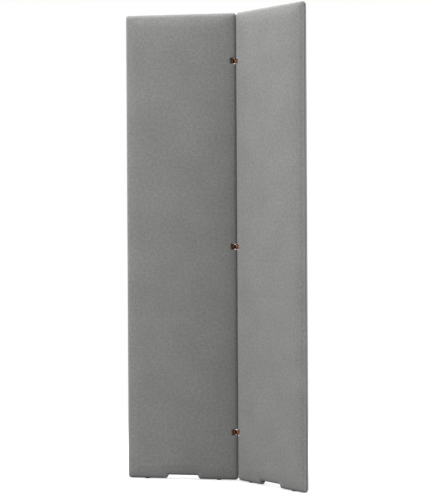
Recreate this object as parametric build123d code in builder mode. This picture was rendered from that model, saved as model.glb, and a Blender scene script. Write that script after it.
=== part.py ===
from build123d import *
import os
from math import atan2, cos, radians, sin, tan

# A folding acoustic screen of two upholstered leaves, joined by three double-acting hinges.
# The floor is at z = 0 and the V opens towards -Y. A leaf is drawn lying along +X from its own
# hinge axis, with its thickness along Y, and each finished piece is placed once in each leaf.

# Leaf
leaf_width = 400
leaf_height = 1650
leaf_thickness = 36
edge_radius = 14.5
crown_angle = 14
corner_radius = 10

# Notch between the two feet
notch_width = 120
notch_depth = 12.5
notch_run = 7
notch_corner_radius = 5

# Soft layers
cloth_thickness = 1.2
layer_gap = 0.3
seam_thickness = 2
seam_recess = 1
seam_width = 4.5

# Timber frame
frame_inset = 7
frame_thickness = 18
frame_corner_radius = 3
stile_width = 40
rail_height = 40
bottom_rail_height = 60
dowel_radius = 4
dowel_length = 40
dowel_spacing = 26
dowel_chamfer = 0.8
glue_gap = 0.1
core_gap = 0.4

# Glides
glide_radius = 9
glide_height = 1.5
glide_edge = 0.6
glide_stem_radius = 2
glide_stem_length = 14
glide_gap = 0.3

# Hinge links
opening_angle = 135
hinge_end_distance = 170
edge_gap = 5.8
link_radius = 5
link_height = 14.6
link_web = 4.4
link_edge = 1.2
link_disc_drop = 0.3
link_disc_edge = 1

# Bushes and pins
bush_radius = 3.3
bush_split = 0.2
bush_flange_radius = 4.5
bush_flange = 0.8
press_gap = 0.02
running_gap = 0.05
flange_gap = 0.1
pin_radius = 2.5
pin_chamfer = 0.5

# Brackets and their screws
ear_radius = 5.8
ear_thickness = 2
bracket_plate = 2.2
barrel_gap = 0.6
pocket_gap = 0.3
screw_radius = 1.5
screw_head_radius = 2.8
screw_head_height = 1.6
screw_rim = 0.3
screw_length = 18
screw_tip_length = 4
screw_tip_radius = 0.3
screw_margin = 3.7
screw_slot_length = 3.4
screw_slot_width = 0.8
screw_slot_depth = 0.7
screw_sink = 0.1
pilot_gap = 0.05

# One overrun serves all cuts
overrun = 10

# Leaf, in its own frame with the hinge axis at x = 0
half_thickness = leaf_thickness / 2
near_x = -edge_radius
far_x = leaf_width - edge_radius
middle_x = (near_x + far_x) / 2
bottom_z = glide_height
top_z = leaf_height

# The crown is an arc that leaves the rounded edge at the crown angle and ends flat
slope = radians(crown_angle)
crown_radius = (half_thickness - edge_radius * cos(slope)) / (1 - cos(slope))
crown_end_inset = edge_radius + (crown_radius - edge_radius) * sin(slope)
notch_angle = atan2(notch_depth, notch_run)

frame_near_x = near_x + frame_inset
frame_far_x = far_x - frame_inset
frame_bottom_z = bottom_z + frame_inset
frame_top_z = top_z - frame_inset
rail_near_x = frame_near_x + stile_width
rail_far_x = frame_far_x - stile_width

hinge_heights = [hinge_end_distance, leaf_height / 2, leaf_height - hinge_end_distance]
plate_front_x = link_radius + barrel_gap
plate_back_x = plate_front_x + bracket_plate
ear_inner_z = link_height / 2 + bush_flange + flange_gap
ear_outer_z = ear_inner_z + ear_thickness
pocket_height = 2 * (ear_outer_z + pocket_gap)
link_disc_radius = ear_outer_z - link_disc_drop
screw_spacing = link_height - 2 * screw_margin
screw_heights = [z + s * screw_spacing / 2 for z in hinge_heights for s in (-1, 1)]

foot_length = (leaf_width - notch_width) / 2
glide_places = [(near_x + foot_length / 2, 0), (far_x - foot_length / 2, 0)]

# The whole screen, with its origin on the floor under the middle of its box
fold_half_angle = (180 - opening_angle) / 2
pin_spacing = 2 * edge_radius + edge_gap
free_edge_reach = leaf_width - 2 * edge_radius
axis_y = free_edge_reach * sin(radians(fold_half_angle)) / 2
leaf_places = {
    "left": Location((-pin_spacing / 2, axis_y, 0), (0, 0, 180 + fold_half_angle)),
    "right": Location((pin_spacing / 2, axis_y, 0), (0, 0, -fold_half_angle)),
}
link_place = Location((0, axis_y, 0))

# A leaf's own +Y side is the front of the left leaf and the back of the right leaf
face_names = {
    "left": {1: "front", -1: "back"},
    "right": {1: "back", -1: "front"},
}

os.makedirs("parts", exist_ok=True)


def write(solid, name):
    """Label a finished piece and write its file."""
    solid.label = name
    export_step(solid, f"parts/{name}.step")


def write_in_leaves(piece, name):
    """Write one copy of a leaf's piece for each leaf."""
    for side, place in leaf_places.items():
        write(place * piece.part, f"{side}_{name}")


def write_face_in_leaves(piece, face, name):
    """Write one copy of a face's piece for each leaf, named front or back as it lies there."""
    for side, place in leaf_places.items():
        write(place * piece.part, f"{side}_{face_names[side][face]}_{name}")


def outline(inset):
    """Draw the leaf's outline, drawn in by inset, on the middle plane."""
    low_z = bottom_z + inset
    notch_z = low_z + notch_depth
    half_foot = notch_width / 2 + inset * tan(notch_angle / 2)
    half_top = half_foot - notch_run
    corner = max(corner_radius - inset, frame_corner_radius)
    with BuildSketch(Plane.XZ) as sketch:
        with BuildLine():
            FilletPolyline(
                (near_x + inset, low_z),
                (middle_x - half_foot, low_z),
                (middle_x - half_top, notch_z),
                (middle_x + half_top, notch_z),
                (middle_x + half_foot, low_z),
                (far_x - inset, low_z),
                (far_x - inset, top_z - inset),
                (near_x + inset, top_z - inset),
                radius=[corner] + [notch_corner_radius] * 4 + [corner] * 3,
                close=True,
            )
        make_face()
    return sketch.sketch


def crowned_section(plane, start, end, layer):
    """Draw a leaf's cross section between two edges: round edges and a crown, less a layer."""
    radius = edge_radius - layer
    crown = crown_radius - layer
    height = half_thickness - layer
    shoulder = (radius * sin(slope), radius * cos(slope))
    crest = (crown_end_inset - edge_radius, height)
    bend = (
        (crown_radius - edge_radius) * sin(slope) - crown * sin(slope / 2),
        height - crown * (1 - cos(slope / 2)),
    )
    with BuildSketch(plane) as sketch:
        with BuildLine():
            for centre, out in ((start + edge_radius, 1), (end - edge_radius, -1)):
                ThreePointArc(
                    (centre - out * shoulder[0], shoulder[1]),
                    (centre - out * radius, 0),
                    (centre - out * shoulder[0], -shoulder[1]),
                )
                for side in (1, -1):
                    ThreePointArc(
                        (centre - out * shoulder[0], side * shoulder[1]),
                        (centre + out * bend[0], side * bend[1]),
                        (centre + out * crest[0], side * crest[1]),
                    )
            for side in (1, -1):
                Line(
                    (start + crown_end_inset, side * height),
                    (end - crown_end_inset, side * height),
                )
        make_face()
    return sketch.sketch


def pillow(layer):
    """Build the whole leaf's crowned form, less a layer all round."""
    upright = Plane((0, 0, 0), x_dir=(0, 0, 1), z_dir=(-1, 0, 0))
    across = crowned_section(Plane.XY, near_x, far_x, layer)
    along = crowned_section(upright.offset(-far_x), bottom_z, top_z, layer)
    with BuildPart() as form:
        extrude(across, amount=leaf_height)
        extrude(along, amount=leaf_width, mode=Mode.INTERSECT)
        extrude(outline(layer), amount=leaf_thickness, both=True, mode=Mode.INTERSECT)
    return form.part


def face_side(face):
    """Build a block that holds all of one face's side of the seam."""
    with BuildPart() as block:
        with BuildSketch(Plane.XZ.offset(-face * seam_thickness / 2)):
            with Locations((middle_x, leaf_height / 2)):
                Rectangle(leaf_width + overrun, leaf_height + overrun)
        extrude(amount=-face * leaf_thickness)
    return block.part


def hinge_slots(end_x, width):
    """Build the slots that the hinge edge has for the brackets, as cutters."""
    with BuildPart() as slots:
        with Locations(*[(near_x - overrun, 0, z) for z in hinge_heights]):
            Box(
                end_x - near_x + overrun,
                width,
                pocket_height,
                align=(Align.MIN, Align.CENTER, Align.CENTER),
            )
    return slots.part


def glide_recesses(radius, depth):
    """Build round recesses in the bottom edge for the glides, as cutters."""
    with BuildPart() as recesses:
        with BuildSketch(Plane.XY.offset(-overrun)):
            with Locations(*glide_places):
                Circle(radius)
        extrude(amount=overrun + depth)
    return recesses.part


cloth_slots = hinge_slots(plate_front_x, leaf_thickness + overrun)
cloth_recesses = glide_recesses(glide_radius + glide_gap, frame_bottom_z)
whole_leaf = pillow(0)
under_cloth = pillow(cloth_thickness)
wadding_form = pillow(cloth_thickness + layer_gap)

with BuildPart() as frame_form:
    extrude(outline(frame_inset), amount=frame_thickness / 2, both=True)

# Covers and wadding
for face in (1, -1):
    with BuildPart() as cover:
        add(whole_leaf)
        add(under_cloth, mode=Mode.SUBTRACT)
        add(face_side(face), mode=Mode.INTERSECT)
        add(cloth_slots, mode=Mode.SUBTRACT)
        add(cloth_recesses, mode=Mode.SUBTRACT)
    write_face_in_leaves(cover, face, "cover")

    with BuildPart() as wadding:
        add(wadding_form)
        add(face_side(face), mode=Mode.INTERSECT)
        add(frame_form.part, mode=Mode.SUBTRACT)
        add(cloth_slots, mode=Mode.SUBTRACT)
        add(cloth_recesses, mode=Mode.SUBTRACT)
    write_face_in_leaves(wadding, face, "wadding")

# Seam allowance between the two covers
with BuildPart() as edge_seam:
    extrude(outline(seam_recess), amount=seam_thickness / 2, both=True)
    extrude(
        outline(seam_recess + seam_width),
        amount=seam_thickness / 2,
        both=True,
        mode=Mode.SUBTRACT,
    )
    add(cloth_slots, mode=Mode.SUBTRACT)
    add(cloth_recesses, mode=Mode.SUBTRACT)
write_in_leaves(edge_seam, "edge_seam")


def dowel_rods(radius, length):
    """Build the rods that lie across the joints of the rails with the stiles."""
    with BuildPart() as rods:
        for joint_x in (rail_near_x, rail_far_x):
            for rail_z in rail_middles:
                for side in (1, -1):
                    with Locations((joint_x, 0, rail_z + side * dowel_spacing / 2)):
                        Cylinder(radius, length, rotation=(0, 90, 0))
    return rods.part


def screw_form(gap, head_reach):
    """Build one screw of a bracket along +X at height zero, grown by a gap all round."""
    head_x = plate_front_x + screw_sink
    with BuildPart() as form:
        with BuildSketch(Plane.XZ):
            with BuildLine():
                Polyline(
                    (head_x - head_reach, 0),
                    (head_x - head_reach, screw_head_radius + gap),
                    (head_x + screw_rim, screw_head_radius + gap),
                    (head_x + screw_head_height, screw_radius + gap),
                    (head_x + screw_length - screw_tip_length, screw_radius + gap),
                    (head_x + screw_length + gap, screw_tip_radius + gap),
                    (head_x + screw_length + gap, 0),
                    close=True,
                )
            make_face()
        revolve(axis=Axis.X)
    return form.part


def at_heights(piece, heights):
    """Repeat a piece of the hinge side at each of the heights given."""
    with BuildPart() as row:
        with Locations(*[(0, 0, z) for z in heights]):
            add(piece)
    return row.part


def frame_piece(start_x, end_x, start_z, end_z):
    """Cut a block out of the frame's form."""
    with BuildPart() as block:
        add(frame_form.part)
        with Locations(((start_x + end_x) / 2, 0, (start_z + end_z) / 2)):
            Box(end_x - start_x, leaf_thickness, end_z - start_z, mode=Mode.INTERSECT)
    return block.part


# Timber frame
middle_rail_z = leaf_height / 2
top_rail_z = frame_top_z - rail_height
bottom_rail_z = frame_bottom_z + bottom_rail_height
rail_spans = {
    "top_rail": (top_rail_z, frame_top_z),
    "middle_rail": (middle_rail_z - rail_height / 2, middle_rail_z + rail_height / 2),
    "bottom_rail": (frame_bottom_z, bottom_rail_z),
}
rail_middles = [(low + high) / 2 for low, high in rail_spans.values()]
dowel_holes = dowel_rods(dowel_radius + glue_gap, dowel_length + 2 * glue_gap)
screw_holes = at_heights(screw_form(pilot_gap, plate_front_x), screw_heights)

with BuildPart() as hinge_stile:
    add(frame_piece(frame_near_x, rail_near_x, frame_bottom_z, frame_top_z))
    add(hinge_slots(plate_back_x, leaf_thickness), mode=Mode.SUBTRACT)
    add(screw_holes, mode=Mode.SUBTRACT)
    add(dowel_holes, mode=Mode.SUBTRACT)
write_in_leaves(hinge_stile, "hinge_stile")

with BuildPart() as free_stile:
    add(frame_piece(rail_far_x, frame_far_x, frame_bottom_z, frame_top_z))
    add(dowel_holes, mode=Mode.SUBTRACT)
write_in_leaves(free_stile, "free_stile")

with BuildPart() as glide_holes:
    with BuildSketch(Plane.XY.offset(frame_bottom_z)):
        with Locations(*glide_places):
            Circle(glide_stem_radius + pilot_gap)
    extrude(amount=glide_stem_length + pilot_gap)

for rail_name, (low_z, high_z) in rail_spans.items():
    with BuildPart() as rail:
        add(frame_piece(rail_near_x, rail_far_x, low_z, high_z))
        add(dowel_holes, mode=Mode.SUBTRACT)
        add(glide_holes.part, mode=Mode.SUBTRACT)
    write_in_leaves(rail, rail_name)

with BuildPart() as frame_dowels:
    add(dowel_rods(dowel_radius, dowel_length))
    chamfer(frame_dowels.edges().filter_by(GeomType.CIRCLE), dowel_chamfer)
write_in_leaves(frame_dowels, "frame_dowels")

# Sound-absorbing slabs
core_spans = {
    "upper_core": (rail_spans["middle_rail"][1], rail_spans["top_rail"][0]),
    "lower_core": (rail_spans["bottom_rail"][1], rail_spans["middle_rail"][0]),
}
for core_name, (low_z, high_z) in core_spans.items():
    with BuildPart() as core:
        with Locations((middle_x, 0, (low_z + high_z) / 2)):
            Box(
                rail_far_x - rail_near_x - 2 * core_gap,
                frame_thickness,
                high_z - low_z - 2 * core_gap,
            )
    write_in_leaves(core, core_name)

# Glides
with BuildPart() as glide:
    with BuildSketch(Plane.XZ):
        with BuildLine():
            Polyline(
                (0, 0),
                (glide_radius - glide_edge, 0),
                (glide_radius, glide_edge),
                (glide_radius, frame_bottom_z),
                (glide_stem_radius, frame_bottom_z),
                (glide_stem_radius, frame_bottom_z + glide_stem_length),
                (0, frame_bottom_z + glide_stem_length),
                close=True,
            )
        make_face()
    revolve(axis=Axis.Z)

with BuildPart() as glides:
    with Locations(*glide_places):
        add(glide.part)
write_in_leaves(glides, "glides")

# Hinge brackets, forks that are let into the stile
with BuildPart() as bracket:
    with BuildSketch(Plane.XY):
        Circle(ear_radius)
        with Locations((plate_back_x / 2, 0)):
            Rectangle(plate_back_x, 2 * ear_radius)
    extrude(amount=ear_outer_z, both=True)
    with Locations((plate_front_x, 0, 0)):
        Box(
            plate_front_x + ear_radius + overrun,
            leaf_thickness,
            2 * ear_inner_z,
            align=(Align.MAX, Align.CENTER, Align.CENTER),
            mode=Mode.SUBTRACT,
        )
    Cylinder(pin_radius + press_gap, 2 * ear_outer_z + overrun, mode=Mode.SUBTRACT)
    with Locations((0, 0, -screw_spacing / 2), (0, 0, screw_spacing / 2)):
        add(screw_form(pilot_gap, plate_front_x), mode=Mode.SUBTRACT)

with BuildPart() as hinge_brackets:
    add(at_heights(bracket.part, hinge_heights))
write_in_leaves(hinge_brackets, "hinge_brackets")

with BuildPart() as bracket_screw:
    add(screw_form(0, 0))
    for slot_size in (
        (screw_slot_length, screw_slot_width),
        (screw_slot_width, screw_slot_length),
    ):
        with Locations((plate_front_x + screw_sink, 0, 0)):
            Box(2 * screw_slot_depth, *slot_size, mode=Mode.SUBTRACT)

with BuildPart() as bracket_screws:
    add(at_heights(bracket_screw.part, screw_heights))
write_in_leaves(bracket_screws, "bracket_screws")

with BuildPart() as pivot_pin:
    Cylinder(pin_radius, 2 * ear_outer_z)
    chamfer(pivot_pin.edges().filter_by(GeomType.CIRCLE), pin_chamfer)

with BuildPart() as pivot_pins:
    add(at_heights(pivot_pin.part, hinge_heights))
write_in_leaves(pivot_pins, "pivot_pins")

# Hinge links: a barrel on each axis, and a domed disc on the thin web between the barrels
axis_points = {"left": (-pin_spacing / 2, 0), "right": (pin_spacing / 2, 0)}

with BuildPart() as link_disc:
    with BuildSketch(Plane.XY):
        with BuildLine():
            TangentArc(
                (0, link_radius),
                (link_disc_radius, link_web / 2),
                tangent=(1, 0),
            )
            Polyline(
                (link_disc_radius, link_web / 2),
                (link_disc_radius, 0),
                (0, 0),
                (0, link_radius),
            )
        make_face()
    revolve(axis=Axis.Y)
    mirror(about=Plane.XZ)
    fillet(link_disc.edges().filter_by(GeomType.CIRCLE), link_disc_edge)

with BuildPart() as hinge_link:
    with Locations(*axis_points.values()):
        Cylinder(link_radius, link_height)
    Box(pin_spacing, link_web, link_height)
    fillet(hinge_link.faces().filter_by(Axis.Z).edges(), link_edge)
    add(link_disc.part)
    with Locations(*axis_points.values()):
        Cylinder(bush_radius + press_gap, link_height + overrun, mode=Mode.SUBTRACT)

for link_name, link_z in zip(("lower", "middle", "upper"), hinge_heights):
    placed_link = link_place * Location((0, 0, link_z)) * hinge_link.part
    write(placed_link, f"{link_name}_hinge_link")

# Flanged bushes, one from above and one from below in each bore
with BuildPart() as bush_pair:
    with BuildSketch(Plane.XZ):
        with BuildLine():
            Polyline(
                (pin_radius + running_gap, bush_split / 2),
                (bush_radius, bush_split / 2),
                (bush_radius, link_height / 2),
                (bush_flange_radius, link_height / 2),
                (bush_flange_radius, link_height / 2 + bush_flange),
                (pin_radius + running_gap, link_height / 2 + bush_flange),
                close=True,
            )
        make_face()
    revolve(axis=Axis.Z)
    mirror(about=Plane.XY)

for side, point in axis_points.items():
    with BuildPart() as pivot_bushes:
        with Locations(*[(*point, z) for z in hinge_heights]):
            add(bush_pair.part)
    write(link_place * pivot_bushes.part, f"{side}_pivot_bushes")
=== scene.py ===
"""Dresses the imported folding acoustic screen: cloth, padding, seams, timber, metal and light.

Everything is in metres in the frame of the CAD model, with the floor at z = 0 and the V of the
two leaves open towards -Y. A leaf is worked out in its own frame, in millimetres, lying along +X
from its hinge axis with its thickness along Y, and is then turned to its place.
"""
import logging
from dataclasses import dataclass, replace
from enum import Enum
from functools import cached_property

import bpy
import numpy as np
from mathutils import Matrix, Vector


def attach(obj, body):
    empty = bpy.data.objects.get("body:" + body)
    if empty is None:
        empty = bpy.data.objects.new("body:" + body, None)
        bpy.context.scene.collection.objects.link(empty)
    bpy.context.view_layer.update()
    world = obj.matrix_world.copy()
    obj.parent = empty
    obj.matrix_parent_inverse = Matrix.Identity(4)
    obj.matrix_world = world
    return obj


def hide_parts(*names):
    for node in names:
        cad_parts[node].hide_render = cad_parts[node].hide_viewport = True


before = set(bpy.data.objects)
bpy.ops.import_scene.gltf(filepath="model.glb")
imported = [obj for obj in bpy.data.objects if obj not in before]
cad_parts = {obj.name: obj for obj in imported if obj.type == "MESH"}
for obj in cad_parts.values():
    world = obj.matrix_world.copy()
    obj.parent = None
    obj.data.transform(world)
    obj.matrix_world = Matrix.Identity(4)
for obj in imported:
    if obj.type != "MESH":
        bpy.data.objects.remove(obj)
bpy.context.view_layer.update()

log = logging.getLogger("acoustic_screen")

Array = np.ndarray
Material = bpy.types.Material
Node = bpy.types.Node
Socket = bpy.types.NodeSocket
Tree = bpy.types.NodeTree

MM = 0.001
# The distance in millimetres under which two points are one
WELD = 0.0005
WHITE = (1.0, 1.0, 1.0, 1.0)
CLOTH_MAP = "cloth"
# The attribute of painted sheen, with some wear, that lightens the cloth's rounded edges
RIM_SHEEN = "rim_sheen"


# Helpers for meshes and nodes


def linear(code: str) -> tuple[float, float, float, float]:
    """Turn an sRGB hex colour into the linear colour that Blender's sockets take.

    Args:
        code: The colour as "#rrggbb".

    Returns:
        Linear red, green and blue, and an alpha of 1.
    """
    parts = [int(code[i : i + 2], 16) / 255 for i in (1, 3, 5)]
    red, green, blue = (
        part / 12.92 if part <= 0.04045 else ((part + 0.055) / 1.055) ** 2.4 for part in parts
    )
    return red, green, blue, 1.0


def add_node(
    tree: Tree, kind: str, inputs: dict | None = None, stops: tuple = (), **settings: object
) -> Node:
    """Add a node with its settings and links.

    Args:
        tree: The node tree.
        kind: Blender's name of the node type, after "ShaderNode".
        inputs: For each input, named or numbered, its value, the socket to link, or the node
            whose first output to link.
        stops: Places from 0 to 1 with sRGB hex colours, where the node is a colour ramp.
        **settings: Properties of the node.

    Returns:
        The new node.
    """
    made = tree.nodes.new(f"ShaderNode{kind}")
    for key, value in settings.items():
        setattr(made, key, value)
    for key, value in (inputs or {}).items():
        if isinstance(value, Node):
            value = value.outputs[0]
        if isinstance(value, Socket):
            tree.links.new(value, made.inputs[key])
        else:
            made.inputs[key].default_value = value
    elements = made.color_ramp.elements if stops else ()
    while len(elements) < len(stops):
        elements.new(0.5)
    for element, (place, code) in zip(elements, stops):
        element.position = place
        element.color = linear(code)
    return made


def welded_object(
    name: str, points: Array, quads: Array, chart: Array, rim_sheen: Array | None = None
) -> bpy.types.Object:
    """Make an object of quads, with points that coincide made one and empty faces left out.

    Args:
        name: The object's name.
        points: The points in millimetres, in a grid or a list.
        quads: Four point numbers a face, going round so that the face points outwards.
        chart: The cloth map's two coordinates for each point, in millimetres.
        rim_sheen: The painted sheen, with some wear, that lightens the cloth at each point, 0 to 1,
            or nothing.

    Returns:
        The object, smooth shaded and linked to the scene.
    """
    points, quads, chart = points.reshape(-1, 3), quads.reshape(-1, 4), chart.reshape(-1, 2)
    rim_sheen = np.zeros(len(points)) if rim_sheen is None else rim_sheen.reshape(-1)
    used = np.unique(quads)
    fresh = np.zeros(len(points), int)
    fresh[used] = np.arange(len(used))
    points, chart, rim_sheen, quads = points[used], chart[used], rim_sheen[used], fresh[quads]
    keys = np.round(points / WELD).astype(np.int64)
    _, first, weld = np.unique(keys, axis=0, return_index=True, return_inverse=True)
    corners = weld.reshape(-1)[quads]
    repeats = corners == np.roll(corners, -1, axis=1)
    whole = ~repeats.any(axis=1)
    whole &= (corners[:, 0] != corners[:, 2]) & (corners[:, 1] != corners[:, 3])
    narrow = repeats.sum(axis=1) == 1
    triangles = corners[narrow][~repeats[narrow]].reshape(-1, 3)
    loops = np.concatenate([quads[whole].reshape(-1), quads[narrow][~repeats[narrow]]])
    mesh = bpy.data.meshes.new(name)
    faces = corners[whole].tolist() + triangles.tolist()
    mesh.from_pydata((points[first] * MM).tolist(), [], faces)
    layer = mesh.uv_layers.new(name=CLOTH_MAP)
    layer.data.foreach_set("uv", (chart[loops] * MM).astype(np.float32).ravel())
    painted_sheen = mesh.attributes.new(RIM_SHEEN, "FLOAT", "POINT")
    painted_sheen.data.foreach_set("value", rim_sheen[first].astype(np.float32))
    mesh.polygons.foreach_set("use_smooth", np.ones(len(mesh.polygons), bool))
    mesh.update()
    made = bpy.data.objects.new(name, mesh)
    bpy.context.scene.collection.objects.link(made)
    return made


def grid_quads(rows: int, columns: int, flip: bool, start: int = 0) -> Array:
    """Number the quads of a grid of points.

    Args:
        rows: Points along the first parameter.
        columns: Points along the second parameter.
        flip: Whether the faces go round the other way.
        start: The number of the grid's first point.

    Returns:
        An array of rows - 1 by columns - 1 by 4 point numbers.
    """
    number = start + np.arange(rows * columns).reshape(rows, columns)
    corners = [number[:-1, :-1], number[:-1, 1:], number[1:, 1:], number[1:, :-1]]
    return np.stack(corners[::-1] if flip else corners, axis=-1)


def smoothstep(value: Array) -> Array:
    """Ease a value from 0 to 1 by 3t^2 - 2t^3, held outside that range."""
    held = np.clip(value, 0.0, 1.0)
    return held * held * (3.0 - 2.0 * held)


def within(places: Array, spans: Array) -> Array:
    """Whether each place is inside one of the spans, given as rows of lowest and highest."""
    return ((places[:, None] > spans[:, 0]) & (places[:, None] < spans[:, 1])).any(axis=1)


def step_and_share(table: Array, values: Array) -> tuple[Array, Array]:
    """Find where values lie in a rising table, for linear interpolation.

    Args:
        table: The table's places.
        values: The places to look up.

    Returns:
        For each value the number of the step that holds it, and its share of that step.
    """
    step = np.clip(np.searchsorted(table, values) - 1, 0, len(table) - 2)
    return step, np.clip((values - table[step]) / (table[step + 1] - table[step]), 0.0, 1.0)


def resampled(lengths: Array, known: Array, path: Array) -> Array:
    """Interpolate a path's points at other lengths than the known ones."""
    return np.stack([np.interp(lengths, known, column) for column in path.T], axis=1)


# Forms of a leaf


class Face(Enum):
    """Which side of a leaf a cover is on, as the sign of its own Y."""

    OVER = 1
    UNDER = -1


@dataclass(frozen=True)
class EdgeProfile:
    """Cross-section of the upholstery from the seam to the flat of the face, in millimetres.

    The path starts inside the seam, runs out along a tail, turns round a rolled lip, follows the
    rounded edge and then a shallow crown, and ends on the flat face. A layer under the cloth has
    the same centres and smaller radii. The part lines are the numbers of grid lines on the tail,
    the lip, the rounded edge and the crown.
    """

    half_thickness: float = 18.0
    edge_radius: float = 14.5
    crown_angle: float = 14.0
    seam_half_width: float = 0.9
    lip_radius: float = 1.4
    lip_tail: float = 1.8
    layer: float = 0.0
    part_lines: tuple[int, ...] = (3, 7, 12, 9)
    table_reach: float = 2000.0
    table_points: int = 60001

    @property
    def radius(self) -> float:
        """The radius of the rounded edge in this layer."""
        return self.edge_radius - self.layer

    @property
    def slope(self) -> float:
        """The crown's angle in radians where it leaves the rounded edge."""
        return float(np.radians(self.crown_angle))

    @property
    def crown_radius(self) -> float:
        """The radius that takes the cloth's crown from the rounded edge to the flat."""
        rise = self.half_thickness - self.edge_radius * np.cos(self.slope)
        return float(rise / (1 - np.cos(self.slope)))

    @property
    def bow(self) -> float:
        """The radius of the crown in this layer."""
        return self.crown_radius - self.layer

    @property
    def crown_end(self) -> float:
        """The distance from the edge at which the face is flat."""
        reach = (self.crown_radius - self.edge_radius) * np.sin(self.slope)
        return float(self.edge_radius + reach)

    @property
    def lip_turn(self) -> float:
        """The angle on the rounded edge, from the middle plane, at which the lip joins it."""
        height = self.seam_half_width + self.lip_radius
        return float(np.arcsin(height / (self.radius - self.lip_radius)))

    @property
    def bends(self) -> tuple[float, float, float, float]:
        """Path lengths at which the tail, the lip, the rounded edge and the crown end."""
        tail = self.lip_tail
        lip = tail + self.lip_radius * (np.pi / 2 + self.lip_turn)
        edge = lip + self.radius * (np.pi / 2 - self.slope - self.lip_turn)
        return tail, float(lip), float(edge), float(edge + self.bow * self.slope)

    def at(self, path: Array) -> tuple[Array, Array]:
        """Follow the cross-section: a straight, an arc, an arc, an arc and a straight.

        Args:
            path: Distances along it from inside the seam.

        Returns:
            The distance in from the leaf's outline, and the height over its middle plane.
        """
        tail, lip, edge, crown = self.bends
        top = self.half_thickness - self.layer
        lip_depth = self.edge_radius - (self.radius - self.lip_radius) * np.cos(self.lip_turn)
        lip_height = self.seam_half_width + self.lip_radius
        roll = (path - tail) / max(self.lip_radius, WELD)
        turn = self.lip_turn + (path - lip) / self.radius
        lean = np.clip(self.slope - (path - edge) / self.bow, 0.0, self.slope)
        spans = [path < tail, path < lip, path < edge, path < crown]
        depths = [
            lip_depth + tail - path,
            lip_depth - self.lip_radius * np.sin(roll),
            self.edge_radius - self.radius * np.cos(turn),
            self.crown_end - self.bow * np.sin(lean),
        ]
        heights = [
            np.full_like(path, self.seam_half_width),
            lip_height - self.lip_radius * np.cos(roll),
            self.radius * np.sin(turn),
            top - self.bow * (1 - np.cos(lean)),
        ]
        depth = np.select(spans, depths, self.crown_end + path - crown)
        return depth, np.select(spans, heights, top)

    def path_to(self, depth: Array | float) -> Array:
        """Find the path length beyond the lip at which the profile is this far in."""
        table = np.linspace(self.bends[1], self.bends[3] + self.table_reach, self.table_points)
        return np.interp(depth, self.at(table)[0], table)


@dataclass(frozen=True)
class GridLines:
    """The grid lines across or along a leaf, between a lower and a higher edge.

    Each has its place on the leaf, its path length from the nearer seam, the side of the middle
    that it is on, and whether it is inside a hinge pocket. The girth is the cloth's length from
    seam to seam.
    """

    low: float
    high: float
    girth: float
    place: Array
    path: Array
    side: Array
    inside: Array

    @property
    def run(self) -> Array:
        """Each line's distance along the cloth from the lower seam."""
        return np.where(self.side > 0, self.girth - self.path, self.path)


@dataclass(frozen=True)
class Leaf:
    """The sizes of one leaf and its place, in millimetres and degrees."""

    side: str
    front: Face
    turn: float
    axis: tuple[float, float]
    width: float = 400.0
    height: float = 1650.0
    foot_clearance: float = 1.5
    edge_radius: float = 14.5
    corner_radius: float = 10.0
    notch_width: float = 120.0
    notch_depth: float = 12.5
    notch_run: float = 7.0
    notch_easing: float = 2.2
    notch_fade: float = 70.0
    hinge_end_distance: float = 170.0
    pocket_height: float = 21.0
    pocket_reach: float = 5.6

    @property
    def body(self) -> str:
        """The CAD body that the leaf's pieces ride on."""
        return f"{self.side}_leaf"

    @property
    def near_x(self) -> float:
        """The hinge edge."""
        return -self.edge_radius

    @property
    def far_x(self) -> float:
        """The free edge."""
        return self.width - self.edge_radius

    @property
    def middle_x(self) -> float:
        """The middle between the two upright edges."""
        return (self.near_x + self.far_x) / 2

    @property
    def pockets(self) -> Array:
        """Lowest and highest z of each hinge pocket, one a row."""
        end, half = self.hinge_end_distance, self.pocket_height / 2
        heights = np.array([end, self.height / 2, self.height - end])
        return np.stack([heights - half, heights + half], axis=1)

    def notch(self, x: Array) -> Array:
        """Work out how far the bottom edge is raised.

        The raise is a ramp up, a level and a ramp down, averaged over a short window so that its
        corners are rounded: the difference of the ramp's integral at the window's two ends.

        Args:
            x: Places along the leaf.

        Returns:
            The raise at each place.
        """
        run, easing = self.notch_run, self.notch_easing
        along = self.notch_width / 2 - np.abs(x - self.middle_x)
        ends = np.stack([along + easing, along - easing])
        held = np.clip(ends, 0.0, run)
        integral = held * held / (2 * run) + np.maximum(ends - run, 0.0)
        return self.notch_depth * (integral[0] - integral[1]) / (2 * easing)

    def lifted(self, x: Array, z: Array) -> Array:
        """Raise z by the notch at x, less and less with height."""
        low_part = 1 - smoothstep((z - self.foot_clearance) / self.notch_fade)
        return z + self.notch(x) * low_part

    def placed(self, points: Array) -> Array:
        """Turn points about Z by the leaf's angle and move them to its axis.

        Args:
            points: Points in the leaf's frame, in an array whose last axis is x, y and z.

        Returns:
            The points in the object's frame.
        """
        cos, sin = np.cos(np.radians(self.turn)), np.sin(np.radians(self.turn))
        x, y, z = np.moveaxis(points, -1, 0)
        turned = [cos * x - sin * y + self.axis[0], sin * x + cos * y + self.axis[1], z]
        return np.stack(turned, axis=-1)


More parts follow.
